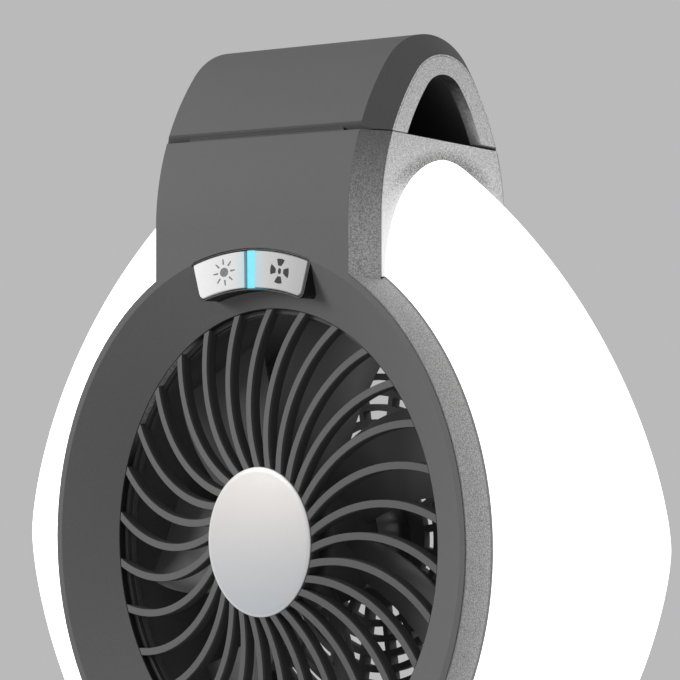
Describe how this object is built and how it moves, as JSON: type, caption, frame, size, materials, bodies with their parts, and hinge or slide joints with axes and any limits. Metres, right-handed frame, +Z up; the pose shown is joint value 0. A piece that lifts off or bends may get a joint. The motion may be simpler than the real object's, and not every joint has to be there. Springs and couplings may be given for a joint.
{
  "type": "portable camping fan with a ring lamp",
  "caption": "Freestanding round fan with spiral guard vanes, glowing bulged side diffusers, two push keys on a neck and a hinged arch handle that opens to hook over a rail.",
  "frame": {"origin": "on the ground, under the middle of the body", "axes": "+Z up, -Y is the way the fan blows, +X is to the right seen from the front"},
  "size_m": [0.2386, 0.0582, 0.2488],
  "materials": {
    "grey_plastic": "fine eggshell texture",
    "pale_plastic": "fine speckled texture",
    "black_plastic": "matte",
    "blade_plastic": "satin",
    "pearl_plastic": "pearl",
    "key_plastic": "satin",
    "diffuser": "milky, lit",
    "indicator": "lit",
    "strip": "flexible circuit",
    "diode": "lit",
    "board": "lacquered",
    "cell": "shrink sleeve",
    "steel": "plated",
    "bush_brass": "sintered",
    "pad_rubber": "matte"
  },
  "bodies": {
    "housing": {"front_bezel": "grey_plastic", "rear_cover": "grey_plastic", "rim_band_front": "pale_plastic", "rim_band_rear": "pale_plastic", "neck_cheek_left": "pale_plastic", "neck_cheek_right": "pale_plastic", "foot_cheek_left": "pale_plastic", "foot_cheek_right": "pale_plastic", "neck_top": "grey_plastic", "base_plate": "grey_plastic", "rubber_feet": "pad_rubber", "diffuser_left": "diffuser", "diffuser_right": "diffuser", "fan_duct": "black_plastic", "led_strip": "strip", "led_chips": "diode", "front_grille": "grey_plastic", "hub_cap": "pearl_plastic", "rear_grille": "grey_plastic", "motor_housing": "steel", "motor_bushes": "bush_brass", "motor_screws": "steel", "key_pod": "black_plastic", "indicator_bar": "indicator", "control_board": "board", "key_switches": "black_plastic", "battery_cells": "cell", "battery_cradle": "black_plastic", "charge_board": "board", "charging_port": "steel", "housing_screws": "steel", "hinge_pin": "steel"},
    "rotor": {"impeller": "blade_plastic", "motor_shaft": "steel"},
    "light_key": {"light_key": "key_plastic"},
    "fan_key": {"fan_key": "key_plastic"},
    "handle": {"handle_arch": "grey_plastic", "handle_cap_left": "pale_plastic", "handle_cap_right": "pale_plastic", "handle_catch": "steel"}
  },
  "joints": [
    {"name": "fan_spin", "type": "hinge", "parent": "housing", "child": "rotor", "pos_m": [0, 0, 0.114], "axis": [0, 1, 0], "continuous": true},
    {"name": "light_key_press", "type": "slide", "parent": "housing", "child": "light_key", "axis": [0, 1, 0], "range_m": [0, 0.001], "stiffness_N_per_m": 900, "springref_m": -0.0008},
    {"name": "fan_key_press", "type": "slide", "parent": "housing", "child": "fan_key", "axis": [0, 1, 0], "range_m": [0, 0.001], "stiffness_N_per_m": 900, "springref_m": -0.0008},
    {"name": "handle_swing", "type": "hinge", "parent": "housing", "child": "handle", "pos_m": [0, -0.02204, 0.2233], "axis": [1, 0, 0], "range_deg": [0, 40]}
  ]
}
